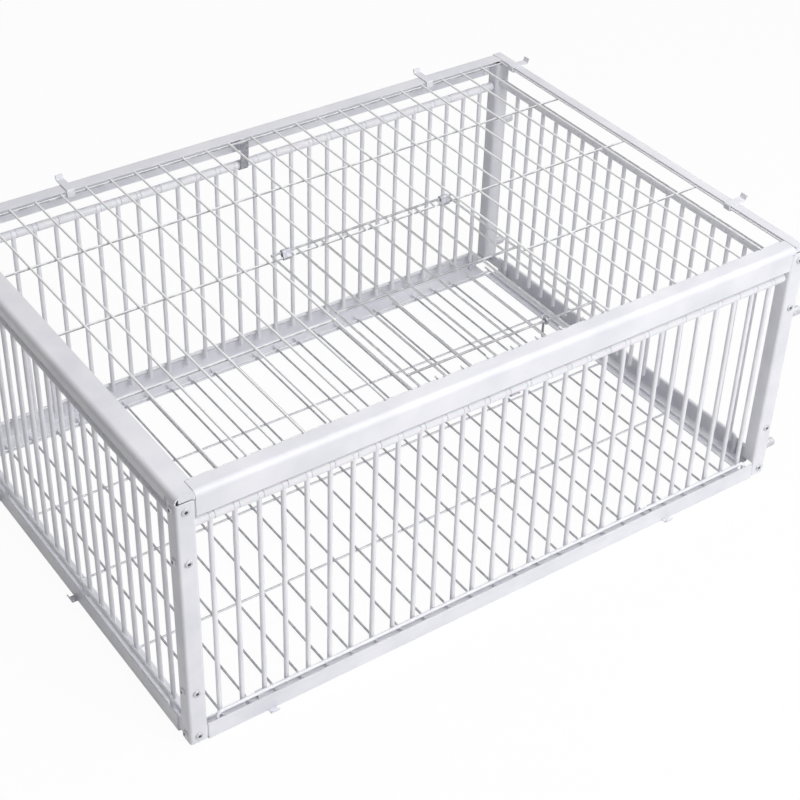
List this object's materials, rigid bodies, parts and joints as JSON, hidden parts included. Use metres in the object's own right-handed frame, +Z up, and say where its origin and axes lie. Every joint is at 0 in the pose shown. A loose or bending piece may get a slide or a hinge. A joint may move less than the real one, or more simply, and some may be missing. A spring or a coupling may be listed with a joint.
{
  "type": "pigeon trap",
  "caption": "Low box cage of folded sheet rails with walls of one-way hanging bars, wire grid top and floor, and a hinged wire hatch in the top for taking birds out.",
  "frame": {"origin": "centre of the underside, on the floor the trap stands on", "axes": "+X along the long walls to the right, +Y to the back wall, +Z up"},
  "size_m": [0.6195, 0.433, 0.2529],
  "materials": {
    "powder_coat": "white satin powder coat on folded sheet",
    "bar_coat": "white satin coat on round wire",
    "sleeve_plastic": "white plastic tube, matte",
    "grid_wire": "pale grey coat on thin welded wire",
    "floor_wire": "dull galvanised welded wire",
    "zinc": "dull zinc plate"
  },
  "bodies": {
    "frame": {"bottom_rail_back": "powder_coat", "bottom_rail_front": "powder_coat", "bottom_rail_left": "powder_coat", "bottom_rail_right": "powder_coat", "corner_plates": "powder_coat", "end_studs": "zinc", "floor_clips": "powder_coat", "floor_grid": "floor_wire", "hatch_hinge_clips": "zinc", "post_back_left": "powder_coat", "post_back_right": "powder_coat", "post_front_left": "powder_coat", "post_front_right": "powder_coat", "rivets": "zinc", "rod_back": "bar_coat", "rod_front": "bar_coat", "rod_hangers": "zinc", "rod_left": "bar_coat", "rod_right": "bar_coat", "sleeves_back": "sleeve_plastic", "sleeves_front": "sleeve_plastic", "sleeves_left": "sleeve_plastic", "sleeves_right": "sleeve_plastic", "stop_wire_back": "bar_coat", "stop_wire_front": "bar_coat", "stop_wire_left": "bar_coat", "stop_wire_right": "bar_coat", "top_clips": "powder_coat", "top_grid": "grid_wire", "top_rail_back": "powder_coat", "top_rail_front": "powder_coat", "top_rail_left": "powder_coat", "top_rail_right": "powder_coat"},
    "bars_back_1": {"bars_back_1": "bar_coat"},
    "bars_back_2": {"bars_back_2": "bar_coat"},
    "bars_back_3": {"bars_back_3": "bar_coat"},
    "bars_back_4": {"bars_back_4": "bar_coat"},
    "bars_back_5": {"bars_back_5": "bar_coat"},
    "bars_back_6": {"bars_back_6": "bar_coat"},
    "bars_back_7": {"bars_back_7": "bar_coat"},
    "bars_front_1": {"bars_front_1": "bar_coat"},
    "bars_front_2": {"bars_front_2": "bar_coat"},
    "bars_front_3": {"bars_front_3": "bar_coat"},
    "bars_front_4": {"bars_front_4": "bar_coat"},
    "bars_front_5": {"bars_front_5": "bar_coat"},
    "bars_front_6": {"bars_front_6": "bar_coat"},
    "bars_front_7": {"bars_front_7": "bar_coat"},
    "bars_left_1": {"bars_left_1": "bar_coat"},
    "bars_left_2": {"bars_left_2": "bar_coat"},
    "bars_left_3": {"bars_left_3": "bar_coat"},
    "bars_right_1": {"bars_right_1": "bar_coat"},
    "bars_right_2": {"bars_right_2": "bar_coat"},
    "bars_right_3": {"bars_right_3": "bar_coat"},
    "hatch": {"hatch": "grid_wire"},
    "hatch_catch": {"hatch_catch": "zinc"}
  },
  "joints": [
    {"name": "swing_back_1", "type": "hinge", "parent": "frame", "child": "bars_back_1", "pos_m": [0, 0.2028, 0.217], "axis": [-1, 0, 0], "range_deg": [0, 90]},
    {"name": "swing_back_2", "type": "hinge", "parent": "frame", "child": "bars_back_2", "pos_m": [0, 0.2028, 0.217], "axis": [-1, 0, 0], "range_deg": [0, 90]},
    {"name": "swing_back_3", "type": "hinge", "parent": "frame", "child": "bars_back_3", "pos_m": [0, 0.2028, 0.217], "axis": [-1, 0, 0], "range_deg": [0, 90]},
    {"name": "swing_back_4", "type": "hinge", "parent": "frame", "child": "bars_back_4", "pos_m": [0, 0.2028, 0.217], "axis": [-1, 0, 0], "range_deg": [0, 90]},
    {"name": "swing_back_5", "type": "hinge", "parent": "frame", "child": "bars_back_5", "pos_m": [0, 0.2028, 0.217], "axis": [-1, 0, 0], "range_deg": [0, 90]},
    {"name": "swing_back_6", "type": "hinge", "parent": "frame", "child": "bars_back_6", "pos_m": [0, 0.2028, 0.217], "axis": [-1, 0, 0], "range_deg": [0, 90]},
    {"name": "swing_back_7", "type": "hinge", "parent": "frame", "child": "bars_back_7", "pos_m": [0, 0.2028, 0.217], "axis": [-1, 0, 0], "range_deg": [0, 90]},
    {"name": "swing_front_1", "type": "hinge", "parent": "frame", "child": "bars_front_1", "pos_m": [0, -0.2028, 0.217], "axis": [1, 0, 0], "range_deg": [0, 90]},
    {"name": "swing_front_2", "type": "hinge", "parent": "frame", "child": "bars_front_2", "pos_m": [0, -0.2028, 0.217], "axis": [1, 0, 0], "range_deg": [0, 90]},
    {"name": "swing_front_3", "type": "hinge", "parent": "frame", "child": "bars_front_3", "pos_m": [0, -0.2028, 0.217], "axis": [1, 0, 0], "range_deg": [0, 90]},
    {"name": "swing_front_4", "type": "hinge", "parent": "frame", "child": "bars_front_4", "pos_m": [0, -0.2028, 0.217], "axis": [1, 0, 0], "range_deg": [0, 90]},
    {"name": "swing_front_5", "type": "hinge", "parent": "frame", "child": "bars_front_5", "pos_m": [0, -0.2028, 0.217], "axis": [1, 0, 0], "range_deg": [0, 90]},
    {"name": "swing_front_6", "type": "hinge", "parent": "frame", "child": "bars_front_6", "pos_m": [0, -0.2028, 0.217], "axis": [1, 0, 0], "range_deg": [0, 90]},
    {"name": "swing_front_7", "type": "hinge", "parent": "frame", "child": "bars_front_7", "pos_m": [0, -0.2028, 0.217], "axis": [1, 0, 0], "range_deg": [0, 90]},
    {"name": "swing_left_1", "type": "hinge", "parent": "frame", "child": "bars_left_1", "pos_m": [-0.292, 0, 0.2215], "axis": [0, 1, 0], "range_deg": [-90, 0]},
    {"name": "swing_left_2", "type": "hinge", "parent": "frame", "child": "bars_left_2", "pos_m": [-0.292, 0, 0.2215], "axis": [0, 1, 0], "range_deg": [-90, 0]},
    {"name": "swing_left_3", "type": "hinge", "parent": "frame", "child": "bars_left_3", "pos_m": [-0.292, 0, 0.2215], "axis": [0, 1, 0], "range_deg": [-90, 0]},
    {"name": "swing_right_1", "type": "hinge", "parent": "frame", "child": "bars_right_1", "pos_m": [0.292, 0, 0.2215], "axis": [0, -1, 0], "range_deg": [-90, 0]},
    {"name": "swing_right_2", "type": "hinge", "parent": "frame", "child": "bars_right_2", "pos_m": [0.292, 0, 0.2215], "axis": [0, -1, 0], "range_deg": [-90, 0]},
    {"name": "swing_right_3", "type": "hinge", "parent": "frame", "child": "bars_right_3", "pos_m": [0.292, 0, 0.2215], "axis": [0, -1, 0], "range_deg": [-90, 0]},
    {"name": "hatch_swing", "type": "hinge", "parent": "frame", "child": "hatch", "pos_m": [0.004, 0.0145, 0.2477], "axis": [-1, 0, 0], "range_deg": [0, 165]},
    {"name": "catch_swing", "type": "hinge", "parent": "hatch", "child": "hatch_catch", "pos_m": [0.0455, -0.178, 0.2477], "axis": [-1, 0, 0], "range_deg": [0, 60]}
  ]
}
